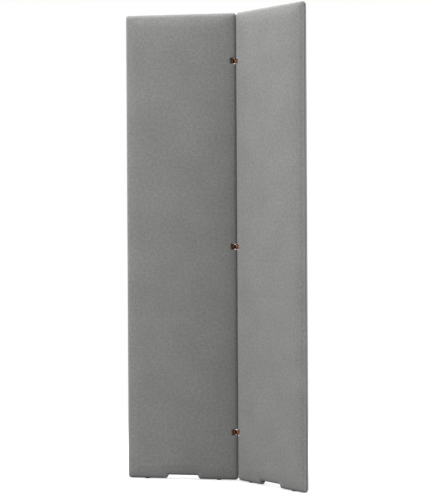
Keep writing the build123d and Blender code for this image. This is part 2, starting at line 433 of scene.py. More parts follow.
@dataclass(frozen=True)
class Upholstery:
    """Works out the cloth's surface over one face of a leaf, on upright and level grid lines."""

    leaf: Leaf
    profile: EdgeProfile = EdgeProfile()
    step: float = 7.0
    notch_step: float = 1.6
    notch_margin: float = 13.0
    outline_step: float = 0.8
    mitre_power: float = 4.0
    tuck: float = 1.5
    tuck_shares: tuple[float, ...] = (1.0, 0.6, 0.3, 0.1, 0.0)
    deepest_tuck_share: float = 0.6
    wall_clearance: float = 2.25
    window_half_width: float = 6.2
    overrun: float = 1.0
    has_pockets: bool = True

    @cached_property
    def across(self) -> GridLines:
        """The upright lines, from the hinge edge to the free edge, close at the notch's walls."""
        leaf = self.leaf
        reach = leaf.notch_run / 2 + self.notch_margin
        middle = leaf.notch_width / 2 - leaf.notch_run / 2
        offsets = np.arange(-reach, reach + self.notch_step / 2, self.notch_step)
        walls = np.concatenate([leaf.middle_x - middle + offsets, leaf.middle_x + middle + offsets])
        cuts = np.array([[leaf.near_x - self.overrun, leaf.pocket_reach]])
        return self.with_cuts(self.edge_lines(leaf.near_x, leaf.far_x, walls), cuts)

    @cached_property
    def along(self) -> GridLines:
        """The level lines, from the foot to the top."""
        lines = self.edge_lines(self.leaf.foot_clearance, self.leaf.height, np.array([]))
        return self.with_cuts(lines, self.leaf.pockets)

    def edge_lines(self, low: float, high: float, extra: Array) -> GridLines:
        """Space grid lines between two edges: close on the rounded edges and wide on the flat.

        Args:
            low: The place of the lower edge.
            high: The place of the higher edge.
            extra: Places on the flat that get a line as well.

        Returns:
            The lines, none of them inside a pocket.
        """
        profile, bends = self.profile, (0.0, *self.profile.bends)
        parts = [np.linspace(*part) for part in zip(bends, bends[1:], profile.part_lines)]
        rim = np.unique(np.concatenate(parts).round(6))
        depth = profile.at(rim)[0]
        flat = high - low - 2 * profile.crown_end
        count = int(np.ceil(flat / self.step))
        between = low + profile.crown_end + np.linspace(0.0, flat, count + 1)[1:-1]
        if len(extra):
            far = np.abs(between[:, None] - extra).min(axis=1) > self.step / 4
            between = np.sort(np.concatenate([between[far], extra]))
        run = np.minimum(between - low, high - between) - profile.crown_end + bends[-1]
        ones = np.ones(len(rim))
        return GridLines(
            low,
            high,
            girth=flat + 2 * bends[-1],
            place=np.concatenate([low + depth, between, (high - depth)[::-1]]),
            path=np.concatenate([rim, run, rim[::-1]]),
            side=np.concatenate([-ones, np.sign(between - (low + high) / 2), ones]),
            inside=np.zeros(2 * len(rim) + len(between), bool),
        )

    def with_cuts(self, lines: GridLines, cuts: Array) -> GridLines:
        """Add lines where pockets start and end: close ones on the tucked edge, two on its wall.

        Of the two on a wall, the one inside the pocket is last at the pocket's lower wall and
        first at its higher wall.

        Args:
            lines: The lines so far.
            cuts: Lowest and highest place of each pocket, one a row.

        Returns:
            The lines, with those in a pocket marked as inside.
        """
        if not self.has_pockets:
            return lines
        walls, away = cuts.reshape(-1), np.tile([-1.0, 1.0], len(cuts))
        walls, away = walls[walls >= lines.low, None], away[walls >= lines.low, None]
        offsets = self.tuck * np.array([*self.tuck_shares, 0.0])
        added = (walls + away * offsets).reshape(-1)
        added_inside = np.tile(np.arange(len(offsets)) == len(self.tuck_shares), len(walls))
        clear = (np.abs(lines.place - walls) > self.wall_clearance).all(axis=0)
        path = self.profile.path_to(np.minimum(added - lines.low, lines.high - added))
        place = np.concatenate([lines.place[clear], added])
        inside = np.concatenate([within(lines.place, cuts)[clear], added_inside])
        side = np.sign(added - (lines.low + lines.high) / 2)
        joined = replace(
            lines,
            place=place,
            path=np.concatenate([lines.path[clear], path]),
            side=np.concatenate([lines.side[clear], side]),
            inside=inside,
        )
        order = np.lexsort((inside == np.isin(place, cuts[:, 0]), joined.run))
        parts = {key: getattr(joined, key)[order] for key in ("place", "path", "side", "inside")}
        return replace(joined, **parts)

    @cached_property
    def in_pocket(self) -> Array:
        """Whether each grid point is inside a hinge pocket."""
        return self.across.inside[:, None] & self.along.inside

    def quads(self, flip: bool, start: int = 0) -> Array:
        """Number the grid's quads, without those that lie wholly in a pocket.

        Args:
            flip: Whether the faces go round the other way.
            start: The number of the grid's first point.

        Returns:
            Four point numbers a row.
        """
        gone = self.in_pocket
        open_quads = gone[:-1, :-1] & gone[1:, :-1] & gone[:-1, 1:] & gone[1:, 1:]
        return grid_quads(*gone.shape, flip, start)[~open_quads]

    @cached_property
    def plan(self) -> tuple[Array, Array]:
        """The x and z of the grid's points on the leaf's middle plane, with corners and notch.

        Near a corner the square shells about the corner's centre become arcs about it: a point
        keeps its distance in from the outline and takes the direction of its place on the shell.
        The bottom edge is then raised by the notch.
        """
        leaf, across, along = self.leaf, self.across, self.along
        radius = leaf.corner_radius
        reach = float(self.profile.path_to(radius))
        path_x, path_z = np.meshgrid(across.path, along.path, indexing="ij")
        x, z = np.meshgrid(across.place, along.place, indexing="ij")
        side_x, side_z = np.meshgrid(across.side, along.side, indexing="ij")
        share_x = 1 - np.minimum(path_x, reach) / reach
        share_z = 1 - np.minimum(path_z, reach) / reach
        length = np.maximum(np.hypot(share_x, share_z), WELD)
        shell = radius - self.profile.at(np.minimum(path_x, path_z))[0]
        centre_x = np.where(side_x < 0, leaf.near_x + radius, leaf.far_x - radius)
        centre_z = np.where(side_z < 0, leaf.foot_clearance + radius, leaf.height - radius)
        corner = (path_x < reach) & (path_z < reach)
        x = np.where(corner, centre_x + side_x * shell * share_x / length, x)
        z = np.where(corner, centre_z + side_z * shell * share_z / length, z)
        return x, leaf.lifted(x, z)

    @cached_property
    def level_path(self) -> Array:
        """Each grid point's path length from the top or bottom seam.

        Beyond the lip of the bottom edge it is the path to the point's distance from the nearest
        place on the notched outline, so that the feet are as round beside the notch as below.
        """
        leaf, profile, along = self.leaf, self.profile, self.along
        lip, crown = profile.bends[1], profile.bends[3]
        path = np.repeat(along.path[None, :], len(self.across.path), axis=0)
        low = np.flatnonzero((along.side < 0) & (along.path > lip) & (along.path < crown))
        x, z = (grid[:, low, None] for grid in self.plan)
        outline = np.arange(leaf.near_x, leaf.far_x, self.outline_step)
        foot = leaf.foot_clearance + leaf.notch(outline)
        away = np.hypot(x - outline, z - foot).min(axis=-1)
        path[:, low] = np.minimum(path[:, low], profile.path_to(away))
        return path

    def rise(self) -> Array:
        """Work out the height of the cloth over the middle plane, without pockets.

        The two path lengths from the seam are joined by the power mean of minus four, which is
        zero on every edge and rounds the mitre between two crowns.

        Returns:
            The height of each grid point.
        """
        power = self.mitre_power
        paths = (self.across.path[:, None], self.level_path)
        joined = sum(np.maximum(path, WELD) ** -power for path in paths)
        return self.profile.at(joined ** (-1 / power))[1]

    def pocket_walls(self, height: Array) -> Array:
        """Tuck the cloth into the hinge pockets.

        Outside a pocket the height falls by a quarter circle of the tuck's radius towards the
        pocket's edge. Inside, it is the seam's level, except on the back wall beside the
        bracket's plate, where it ends at the plate.

        Args:
            height: The cloth's height without pockets.

        Returns:
            The height with them.
        """
        pockets, seam = self.leaf.pockets, self.profile.seam_half_width
        x, z = self.across.place[:, None], self.along.place
        out_x = np.maximum(x - self.leaf.pocket_reach, 0.0)
        gaps = np.maximum(pockets[:, 0] - z[:, None], z[:, None] - pockets[:, 1])
        out_z = np.maximum(gaps.min(axis=1), 0.0)
        share = np.clip(1 - np.hypot(out_x, out_z) / self.tuck, 0.0, 1.0)
        fall = self.tuck * (1 - np.sqrt(1 - share * share))
        tucked = height - np.minimum(fall, self.deepest_tuck_share * (height - seam))
        beside_plate = (x > self.leaf.pocket_reach - WELD) & ~np.isin(z, pockets)
        floor = np.where(beside_plate, self.window_half_width, seam)
        return np.where(self.in_pocket, floor, tucked)


@dataclass(frozen=True)
class Swelling:
    """How far the padding swells the cloth over a leaf's face, from a cloth simulation."""

    x: Array
    z: Array
    amount: Array

    def over(self, x: Array, z: Array) -> Array:
        """Interpolate the swelling linearly both ways.

        Args:
            x: The x of the grid's upright lines.
            z: The z of its level lines.

        Returns:
            The swelling at each crossing.
        """
        i, u = (part[:, None] for part in step_and_share(self.x, x))
        k, v = step_and_share(self.z, z)
        low = self.amount[i, k] * (1 - u) + self.amount[i + 1, k] * u
        high = self.amount[i, k + 1] * (1 - u) + self.amount[i + 1, k + 1] * u
        return low * (1 - v) + high * v


@dataclass(frozen=True)
class PaddingTrial:
    """A cloth simulation of one face's cover under the pressure of its padding.

    The cloth is sewn down along its rim and blown up. The wadding lets it move only as far as
    the cap, which is least beside the hinge, where two folded leaves lie close together.
    """

    form: Upholstery
    pressure: float = 4.0
    frames: int = 20
    quality: int = 5
    mass: float = 0.3
    rim_path: float = 16.0
    cap: float = 1.0
    cap_near_hinge: float = 0.05
    cap_start_x: float = 30.0
    cap_end_x: float = 90.0
    smoothing: int = 4

    def run(self) -> Swelling:
        """Simulate the cover and read how far each point moved outwards.

        Returns:
            The swelling over the face, in millimetres.
        """
        across, along = self.form.across, self.form.along
        x, z = self.form.plan
        points = np.stack([x, self.form.rise(), z], axis=-1)
        chart = points[..., (0, 2)]
        trial = welded_object("padding_trial", points, self.form.quads(flip=False), chart)
        coordinates = np.zeros(len(trial.data.vertices) * 3, np.float32)
        trial.data.vertices.foreach_get("co", coordinates)
        start = coordinates.reshape(-1, 3).copy()
        order = self.nearest(points.reshape(-1, 3) * MM, start)
        sewn = np.zeros(len(start), bool)
        sewn[order] = np.minimum(across.path[:, None], along.path).reshape(-1) < self.rim_path
        group = trial.vertex_groups.new(name="sewn_rim")
        group.add(np.flatnonzero(sewn).tolist(), 1.0, "REPLACE")
        modifier = trial.modifiers.new("Cloth", "CLOTH")
        settings = modifier.settings
        settings.vertex_group_mass = group.name
        settings.quality = self.quality
        settings.mass = self.mass
        settings.use_pressure = True
        settings.uniform_pressure_force = self.pressure
        settings.effector_weights.gravity = 0.0
        modifier.collision_settings.use_collision = False
        scene = bpy.context.scene
        for number in range(1, self.frames + 1):
            scene.frame_set(number)
        moved = trial.evaluated_get(bpy.context.evaluated_depsgraph_get())
        moved.data.vertices.foreach_get("co", coordinates)
        travel = (coordinates.reshape(-1, 3) - start)[:, 1] / MM
        scene.frame_set(1)
        bpy.data.objects.remove(trial)
        amount = travel[order].reshape(x.shape)
        log.info("padding trial: cloth moved up to %.1f mm before its cap", amount.max())
        near = smoothstep((across.place - self.cap_start_x) / (self.cap_end_x - self.cap_start_x))
        cap = (self.cap_near_hinge + (self.cap - self.cap_near_hinge) * near)[:, None]
        held = cap * np.tanh(np.maximum(amount, 0.0) / cap)
        return Swelling(across.place, along.place, self.smoothed(held))

    def smoothed(self, amount: Array) -> Array:
        """Average each point with its neighbours by weights of 1, 2 and 1, both ways.

        Args:
            amount: A value for each grid point.

        Returns:
            The values after the rounds of smoothing.
        """
        for _ in range(self.smoothing):
            for axis in (0, 1):
                line = np.moveaxis(amount, axis, 0)
                before = np.concatenate([line[:1], line[:-1]])
                after = np.concatenate([line[1:], line[-1:]])
                amount = np.moveaxis((before + 2 * line + after) / 4, 0, axis)
        return amount

    @staticmethod
    def nearest(points: Array, vertices: Array) -> Array:
        """Find the welded vertex at each grid point, by equal rounded coordinates.

        Args:
            points: The grid's points, in metres.
            vertices: The welded mesh's vertices, in metres.

        Returns:
            The number of each point's vertex.
        """
        # Rounded to four welds, because the vertices' coordinates are less exact
        size = WELD * MM * 4
        keys = np.round(np.concatenate([vertices, points]) / size).astype(np.int64)
        inverse = np.unique(keys, axis=0, return_inverse=True)[1].reshape(-1)
        lookup = np.zeros(inverse.max() + 1, int)
        lookup[inverse[: len(vertices)]] = np.arange(len(vertices))
        return lookup[inverse[len(vertices) :]]


# Finishes


@dataclass(frozen=True)
class Finish:
    """A material, named for what the real one is and how its surface was made."""

    name: str

    def surface(self, tree: Tree) -> Node:
        """Build the finish's own shader in the tree, and return its node."""
        raise NotImplementedError

    def material(self) -> Material:
        """Make the material and link its shader to the output.

        Returns:
            The material.
        """
        made = bpy.data.materials.new(self.name)
        made.use_nodes = True
        made.node_tree.nodes.clear()
        shader = self.surface(made.node_tree)
        add_node(made.node_tree, "OutputMaterial", {"Surface": shader})
        return made

    def with_relief(self, tree: Tree, height: Node, inputs: dict) -> Node:
        """Build a shader with a pattern's relief, of the finish's own strength and depth.

        Args:
            tree: The node tree.
            height: The pattern, whose depth the finish holds in millimetres.
            inputs: The shader's other inputs.

        Returns:
            The shader.
        """
        strength, depth = self.relief_strength, self.relief_depth * MM
        bump = add_node(tree, "Bump", {"Strength": strength, "Distance": depth, "Height": height})
        return add_node(tree, "BsdfPrincipled", inputs | {"Normal": bump})


@dataclass(frozen=True)
class WoolCloth(Finish):
    """Melange wool cloth, woven from flecked yarn and milled until its threads close up.

    It gives the eye an even mid grey with soft mottling and a matt face with a faint sheen. Its
    rounded edges are lightened a little in colour, as painted sheen with some wear.
    """

    name: str = "milled_melange_wool_cloth"
    dark_yarn: str = "#868685"
    yarn: str = "#919190"
    light_yarn: str = "#9C9C9B"
    thread: float = 1.3
    fleck: float = 5.0
    mottle: float = 11.0
    cloud: float = 120.0
    mottle_share: float = 0.4
    cloud_gain: float = 0.04
    # How far the painted sheen, with some wear, lightens the rounded edges
    painted_sheen_gain: float = 0.03
    fleck_relief: float = 0.8
    relief_strength: float = 0.45
    relief_depth: float = 0.6

    def surface(self, tree: Tree) -> Node:
        """Build the cloth: flecks, clouds and painted edge sheen in its colour, flecks and weave in
        its relief.

        Args:
            tree: The node tree.

        Returns:
            The shader.
        """
        chart = add_node(tree, "UVMap", uv_map=CLOTH_MAP)
        # Each noise has its size, detail and roughness. The flecks of carded fibre are really
        # 2 mm, and are drawn coarser so that they show
        noises = ((self.fleck, 4.0, 0.65), (self.mottle, 3.0, 0.6), (self.cloud, 2.0, 0.5))
        flecks, mottles, clouds = (
            add_node(
                tree,
                "TexNoise",
                {"Vector": chart, "Scale": 1 / (size * MM), "Detail": detail, "Roughness": rough},
                noise_dimensions="2D",
            )
            for size, detail, rough in noises
        )
        both = add_node(tree, "Mix", {"Factor": self.mottle_share, "A": flecks, "B": mottles})
        yarns = ((0.34, self.dark_yarn), (0.5, self.yarn), (0.66, self.light_yarn))
        colour = add_node(tree, "ValToRGB", {"Fac": both}, yarns)
        low, high = 1 - self.cloud_gain, 1 + self.cloud_gain
        spread = {"From Min": 0.3, "From Max": 0.7, "To Min": low, "To Max": high}
        shade = add_node(tree, "MapRange", {"Value": clouds} | spread)
        # Painted sheen, with some wear: an attribute that lightens the colour along the rounded
        # edges
        painted_sheen = add_node(tree, "Attribute", attribute_name=RIM_SHEEN).outputs["Fac"]
        factors = {0: painted_sheen, 1: self.painted_sheen_gain, 2: 1.0}
        gain = add_node(tree, "Math", factors, operation="MULTIPLY_ADD")
        for grey in (shade, gain):
            # In a colour mix, inputs 6 and 7 and output 2 are the colours
            sockets = {0: 1.0, 6: colour, 7: grey}
            mixed = add_node(tree, "Mix", sockets, data_type="RGBA", blend_type="MULTIPLY")
            colour = mixed.outputs[2]
        # A plain weave is the higher of warp and weft, each a wave of one thread. A wave texture
        # of scale 1 has a band each pi / 10, here in metres
        wave = {"Scale": np.pi / 10 / (self.thread * MM), "Distortion": 1.5, "Detail": 2.0}
        warp, weft = (
            add_node(tree, "TexWave", {"Vector": chart} | wave, bands_direction=way).outputs["Fac"]
            for way in ("X", "Y")
        )
        weave = add_node(tree, "Math", {0: warp, 1: weft}, operation="MAXIMUM")
        factors = {0: flecks, 1: self.fleck_relief, 2: weave}
        height = add_node(tree, "Math", factors, operation="MULTIPLY_ADD")
        matt = {"Roughness": 0.95, "Specular IOR Level": 0.2}
        rim_sheen = {"Sheen Weight": 0.04, "Sheen Roughness": 0.6}
        inputs = {"Base Color": colour} | matt | rim_sheen
        return self.with_relief(tree, height, inputs)


@dataclass(frozen=True)
class PlainFelt(Finish):
    """Needled fibre: fleecy wadding, a pressed slab or a seam's raw edge.

    It gives the eye a matt face, speckled by its tufts.
    """

    dark: str
    light: str
    fibre: float
    tuft_share: float = 0.4
    relief_strength: float = 0.5
    relief_depth: float = 0.8

    def surface(self, tree: Tree) -> Node:
        """Build the felt from two sizes of fibre noise.

        Args:
            tree: The node tree.

        Returns:
            The shader.
        """
        place = add_node(tree, "TexCoord").outputs["Object"]
        size = self.fibre * MM
        noise = {"Scale": 1 / size, "Detail": 6.0, "Roughness": 0.7, "Distortion": 0.8}
        fibres = add_node(tree, "TexNoise", {"Vector": place} | noise)
        cells = {"Vector": place, "Scale": 0.5 / size}
        tufts = add_node(tree, "TexVoronoi", cells, feature="SMOOTH_F1")
        factors = {0: tufts, 1: self.tuft_share, 2: fibres}
        blended = add_node(tree, "Math", factors, operation="MULTIPLY_ADD")
        stops = ((0.35, self.dark), (0.8, self.light))
        colour = add_node(tree, "ValToRGB", {"Fac": blended}, stops)
        matt = {"Roughness": 0.97, "Specular IOR Level": 0.15, "Sheen Weight": 0.2}
        return self.with_relief(tree, blended, {"Base Color": colour} | matt)


@dataclass(frozen=True)
class PlanedPine(Finish):
    """Planed pine, sawn along its grain.

    It gives the eye pale earlywood, darker latewood lines along the length, and a satin face.
    """

    upright: bool
    turn: float
    earlywood: str = "#E2BF8C"
    latewood: str = "#B98552"
    ring: float = 7.0
    streaks_per_mm: float = 0.9
    length_share: float = 0.06
    streak_share: float = 0.35
    relief_strength: float = 0.2
    relief_depth: float = 0.2

    def surface(self, tree: Tree) -> Node:
        """Build the wood from distorted bands with fine streaks drawn out along the grain.

        Args:
            tree: The node tree.

        Returns:
            The shader.
        """
        place = add_node(tree, "TexCoord").outputs["Object"]
        turned = (0.0, 0.0, -float(np.radians(self.turn)))
        aligned = add_node(tree, "Mapping", {"Vector": place, "Rotation": turned})
        grain = (1.0, 1.0, self.length_share) if self.upright else (self.length_share, 1.0, 1.0)
        drawn = add_node(tree, "Mapping", {"Vector": aligned, "Scale": grain})
        bands = {"Distortion": 5.0, "Detail": 3.0, "Detail Scale": 1.5}
        inputs = {"Vector": drawn, "Scale": np.pi / 10 / (self.ring * MM)} | bands
        way = "X" if self.upright else "Z"
        rings = add_node(tree, "TexWave", inputs, bands_direction=way).outputs["Fac"]
        noise = {"Scale": self.streaks_per_mm / MM, "Detail": 4.0, "Roughness": 0.6}
        streaks = add_node(tree, "TexNoise", {"Vector": drawn} | noise)
        factors = {0: streaks, 1: self.streak_share, 2: rings}
        blended = add_node(tree, "Math", factors, operation="MULTIPLY_ADD")
        stops = ((0.2, self.earlywood), (1.0, self.latewood))
        colour = add_node(tree, "ValToRGB", {"Fac": blended}, stops)
        return self.with_relief(tree, streaks, {"Base Color": colour, "Roughness": 0.55})


@dataclass(frozen=True)
class PolishedMetal(Finish):
    """A plate of copper or zinc, polished over its metal.

    It gives the eye a mirror of the plate's tint, with faint clouds and hairlines of wear.
    """

    bright: str
    dull: str
    roughness: float
    wear: float = 6.0
    hairlines_per_mm: float = 0.26
    hairline_stretch: float = 14.0
    relief_strength: float = 0.08
    relief_depth: float = 0.05

    def surface(self, tree: Tree) -> Node:
        """Build the plate: clouded tint, patchy polish and hairline scratches in the relief.

        Args:
            tree: The node tree.

        Returns:
            The shader.
        """
        place = add_node(tree, "TexCoord").outputs["Object"]
        noise = {"Scale": 1 / (self.wear * MM), "Detail": 4.0}
        clouds = add_node(tree, "TexNoise", {"Vector": place} | noise)
        stops = ((0.35, self.dull), (0.6, self.bright))
        colour = add_node(tree, "ValToRGB", {"Fac": clouds}, stops)
        ends = {"To Min": self.roughness * 1.35, "To Max": self.roughness * 0.75}
        spread = {"Value": clouds, "From Min": 0.3, "From Max": 0.7} | ends
        polish = add_node(tree, "MapRange", spread)
        stretch = {"Vector": place, "Scale": (1.0, 1.0, self.hairline_stretch)}
        drawn = add_node(tree, "Mapping", stretch)
        noise = {"Scale": self.hairlines_per_mm / MM, "Detail": 3.0}
        hairlines = add_node(tree, "TexNoise", {"Vector": drawn} | noise)
        inputs = {"Base Color": colour, "Metallic": 1.0, "Roughness": polish}
        return self.with_relief(tree, hairlines, inputs)


@dataclass(frozen=True)
class MouldedPlastic(Finish):
    """Plastic, moulded in a grained mould.

    It gives the eye a dull, slightly uneven gloss over a fine grain.
    """

    dark: str
    light: str
    roughness: float
    grain: float = 0.8
    relief_strength: float = 0.15
    relief_depth: float = 0.1

    def surface(self, tree: Tree) -> Node:
        """Build the plastic from a fine grain that moves its tint, gloss and relief.

        Args:
            tree: The node tree.

        Returns:
            The shader.
        """
        place = add_node(tree, "TexCoord").outputs["Object"]
        noise = {"Scale": 1 / (self.grain * MM), "Detail": 3.0}
        grain = add_node(tree, "TexNoise", {"Vector": place} | noise)
        stops = ((0.3, self.dark), (0.7, self.light))
        colour = add_node(tree, "ValToRGB", {"Fac": grain}, stops)
        ends = {"To Min": self.roughness * 0.85, "To Max": self.roughness * 1.15}
        spread = {"Value": grain, "From Min": 0.2, "From Max": 0.8} | ends
        gloss = add_node(tree, "MapRange", spread)
        inputs = {"Base Color": colour, "Roughness": gloss, "IOR": 1.53}
        return self.with_relief(tree, grain, inputs)


# Pieces


@dataclass(frozen=True)
class PaddedCover:
    """One cover of a leaf: the cloth of a face, its rolled edge and its tucked hinge pockets."""

    leaf: Leaf
    face: Face
    name: str
    cloth: float = 1.1
    unevenness: float = 0.10
    wave_count: int = 7
    shortest_wave: float = 70.0
    longest_wave: float = 260.0
    calm_start_x: float = 30.0
    calm_end_x: float = 90.0
    painted_sheen_reach: float = 30.0

    def build(self, swelling: Swelling | None, finish: Material) -> bpy.types.Object:
        """Work out the cloth's surface and give it its thickness.

        The surface is the pillow's height on a grid over the leaf, swollen by its padding, with a
        slight unevenness that is the sum of a few long waves. The waves fade out beside the
        hinge, where two folded leaves lie close together.

        Args:
            finish: The cloth's material.

        Returns:
            The cover, riding on its leaf in place of its CAD solid.
        """
        form = Upholstery(self.leaf)
        across, along = form.across, form.along
        x, z = form.plan
        height = form.rise()
        # From 0 at half of the leaf's thickness to 1 on the flat of its face
        flat = smoothstep(height / form.profile.half_thickness * 2 - 1)
        if swelling is not None:
            height = height + swelling.over(across.place, along.place) * flat
        calm_span = self.calm_end_x - self.calm_start_x
        calm = smoothstep((across.place - self.calm_start_x) / calm_span)[:, None]
        height = form.pocket_walls(height + self.waves(x, z) * flat * calm)
        points = np.stack([x, self.face.value * height, z], axis=-1)
        chart = np.stack(np.meshgrid(across.run, along.run, indexing="ij"), axis=-1)
        # The two covers of a leaf are cut from different places of the cloth
        chart[..., 0] += self.leaf.width * (2 + self.face.value)
        # A band of painted sheen, with some wear, lightening the cloth along its rounded edges
        rim = np.minimum(across.path[:, None], along.path)
        rim_sheen = np.exp(-(((rim - form.profile.bends[2]) / self.painted_sheen_reach) ** 2))
        quads = form.quads(flip=self.face is Face.UNDER)
        cover = welded_object(self.name, self.leaf.placed(points), quads, chart, rim_sheen)
        wall = cover.modifiers.new("cloth_thickness", "SOLIDIFY")
        wall.thickness = self.cloth * MM
        wall.offset = -1.0
        wall.use_even_offset = False
        cover.data.materials.append(finish)
        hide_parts(self.name[: -len("_cloth")])
        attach(cover, self.leaf.body)
        return cover

    def waves(self, x: Array, z: Array) -> Array:
        """Sum a few long sine waves of fixed random directions, as hand-stretched cloth has.

        Args:
            x: The x of each grid point.
            z: The z of each grid point.

        Returns:
            The waves' height at each point.
        """
        chance = np.random.default_rng(sum(map(ord, self.name)))
        lowest, highest = (self.shortest_wave, 0, 0), (self.longest_wave, np.pi, 2 * np.pi)
        total = np.zeros_like(x)
        for _ in range(self.wave_count):
            length, angle, phase = chance.uniform(lowest, highest)
            total += np.sin(2 * np.pi / length * (x * np.cos(angle) + z * np.sin(angle)) + phase)
        return self.unevenness * total / np.sqrt(self.wave_count)


@dataclass(frozen=True)
class WaddingPad:
    """The fleece under one cover: crowned outside, and flat inside against the frame."""

    leaf: Leaf
    face: Face
    name: str
    layer: float = 1.6
    step: float = 22.0
    notch_step: float = 3.5
    frame_inset: float = 7.2
    frame_half_thickness: float = 9.05
    seam_half_width: float = 1.0

    def build(self, finish: Material) -> bpy.types.Object:
        """Close the crowned skin with an inner skin that wraps the frame's edge.

        Both skins are heights on one grid. The inner one is level with the seam outside the frame
        and with the frame's face over it. The two meet along the rim and in the pockets.

        Args:
            finish: The fleece's material.

        Returns:
            The pad, riding on its leaf in place of its CAD solid.
        """
        seam = self.seam_half_width
        profile = EdgeProfile(lip_radius=0.0, lip_tail=0.0, layer=self.layer, seam_half_width=seam)
        form = Upholstery(self.leaf, profile, self.step, self.notch_step)
        x, z = form.plan
        depth_x, depth_z = (profile.at(path)[0] for path in (form.across.path, form.level_path))
        in_seam = (np.minimum(depth_x[:, None], depth_z) < self.frame_inset) | form.in_pocket
        inner = np.where(in_seam, seam, self.frame_half_thickness)
        shut = form.in_pocket.copy()
        shut[[0, -1], :] = True
        shut[:, [0, -1]] = True
        outer = np.where(shut, seam, np.maximum(form.pocket_walls(form.rise()), inner))
        sign = self.face.value
        points = np.stack([np.stack([x, sign * y, z], axis=-1) for y in (outer, inner)])
        under = self.face is Face.UNDER
        quads = np.concatenate([form.quads(under), form.quads(not under, start=x.size)])
        chart = np.stack([points[0][..., (0, 2)]] * 2)
        pad = welded_object(self.name, self.leaf.placed(points), quads, chart)
        pad.data.materials.append(finish)
        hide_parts(self.name[: -len("_pad")])
        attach(pad, self.leaf.body)
        return pad


@dataclass(frozen=True)
class SewnSeam:
    """The seam allowance of a leaf's two covers, sewn together along its edge."""

    leaf: Leaf
    depth: float = 1.9
    width: float = 3.6
    half_thickness: float = 0.85
    stitch: float = 4.2
    pucker: float = 0.35
    side_drop: float = 0.35
    shoulder_drop: float = 0.05
    groove_share: float = 0.6
    point_step: float = 1.05
    corner_points: int = 16

    def rim(self, inset: float) -> Array:
        """Follow the leaf's outline, drawn in by inset: four straights joined by quarter circles.

        Args:
            inset: The distance in from the outline.

        Returns:
            Points of x and z, from the lower hinge pocket down, round the foot, up the free edge,
            over the top and down the hinge edge.
        """
        leaf = self.leaf
        radius, inner = leaf.corner_radius, leaf.corner_radius - inset
        left, right = leaf.near_x + radius, leaf.far_x - radius
        low, high = leaf.foot_clearance + radius, leaf.height - radius
        start = np.array([[leaf.near_x + inset, leaf.hinge_end_distance]])
        corners = [(left, low, 180.0), (right, low, 270.0), (right, high, 0.0), (left, high, 90.0)]
        runs = [start]
        for x, z, turn in corners:
            angle = np.radians(turn + np.linspace(0.0, 90.0, self.corner_points))
            runs.append(np.stack([x + inner * np.cos(angle), z + inner * np.sin(angle)], axis=1))
        path = np.concatenate(runs + [start])
        length = np.concatenate([[0.0], np.cumsum(np.hypot(*np.diff(path, axis=0).T))])
        even = np.linspace(0.0, length[-1], int(length[-1] / self.point_step))
        line = resampled(even, length, path)
        line[:, 1] = leaf.lifted(line[:, 0], line[:, 1])
        return line

    def build(self, finish: Material) -> bpy.types.Object:
        """Carry a flat rounded strip along the rim, puckered once a stitch.

        Its outer face stands out by the size of a sine that is zero at each stitch hole.

        Args:
            finish: The seam's material.

        Returns:
            The seam, riding on its leaf in place of its CAD solid.
        """
        outer, inner = self.rim(self.depth), self.rim(self.depth + self.width)
        count, half = len(outer), self.half_thickness
        inner = resampled(np.linspace(0, 1, count), np.linspace(0, 1, len(inner)), inner)
        length = np.arange(count) * self.point_step
        bulge = self.pucker * np.abs(np.sin(np.pi * length / self.stitch))
        out = (outer - inner) / np.maximum(np.hypot(*(outer - inner).T), WELD)[:, None]
        side, shoulder = (
            outer + out * (bulge - drop)[:, None] for drop in (self.side_drop, self.shoulder_drop)
        )
        groove = outer + out * bulge[:, None] * self.groove_share
        ring = [(side, -half), (shoulder, -half / 2), (groove, 0.0), (shoulder, half / 2)]
        ring += [(side, half), (inner, half), (inner, -half), (side, -half)]
        lines = [np.stack([line[:, 0], np.full(count, y), line[:, 1]], axis=1) for line, y in ring]
        points = np.stack(lines, axis=1)
        in_pocket = (outer[:, 0] < self.leaf.pocket_reach) & within(outer[:, 1], self.leaf.pockets)
        ends = np.flatnonzero(np.diff(np.pad(~in_pocket, 1).astype(int))).reshape(-1, 2)
        columns = len(ring)
        cap = np.array([[0, 4, 5, 6], [0, 1, 3, 4], [1, 2, 3, 3]])
        quads, caps = [], []
        for first, last in ends:
            run = grid_quads(last - first, columns, flip=False)
            quads.append(run.reshape(-1, 4) + first * columns)
            caps += [cap[:, ::-1] + first * columns, cap + (last - 1) * columns]
        chart = np.stack(np.meshgrid(length, np.arange(columns) * 1.0, indexing="ij"), axis=-1)
        name = f"{self.leaf.side}_edge_seam_sewn"
        seam = welded_object(name, self.leaf.placed(points), np.concatenate(quads + caps), chart)
        seam.data.materials.append(finish)
        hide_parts(f"{self.leaf.side}_edge_seam")
        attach(seam, self.leaf.body)
        return seam


@dataclass(frozen=True)
class HardParts:
    """The CAD nodes that keep their own shape: frame, slabs, glides and hinges."""

    leaf: Leaf

    def dress(self, finishes: dict[str, Material]) -> None:
        """Give each rigid node of the leaf its material.

        Args:
            finishes: The materials by what they are for.
        """
        side = self.leaf.side
        upright = PlanedPine(f"planed_pine_upright_{side}", True, self.leaf.turn).material()
        level = PlanedPine(f"planed_pine_level_{side}", False, self.leaf.turn).material()
        chosen = {
            "hinge_stile": upright,
            "free_stile": upright,
            "top_rail": level,
            "middle_rail": level,
            "bottom_rail": level,
            "frame_dowels": level,
            "upper_core": finishes["slab"],
            "lower_core": finishes["slab"],
            "glides": finishes["nylon"],
            "hinge_brackets": finishes["copper"],
            "bracket_screws": finishes["steel"],
            "pivot_pins": finishes["copper"],
            "pivot_bushes": finishes["bush"],
        }
        for name, material in chosen.items():
            finish_node(f"{side}_{name}", material)


def finish_node(name: str, material: Material) -> None:
    """Put a material on a CAD node in place of its own.

    Args:
        name: The node.
        material: Its finish.
    """
    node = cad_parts[name]
    node.data.materials.clear()
    node.data.materials.append(material)
    log.info("%s: %s", name, material.name)


# Studio


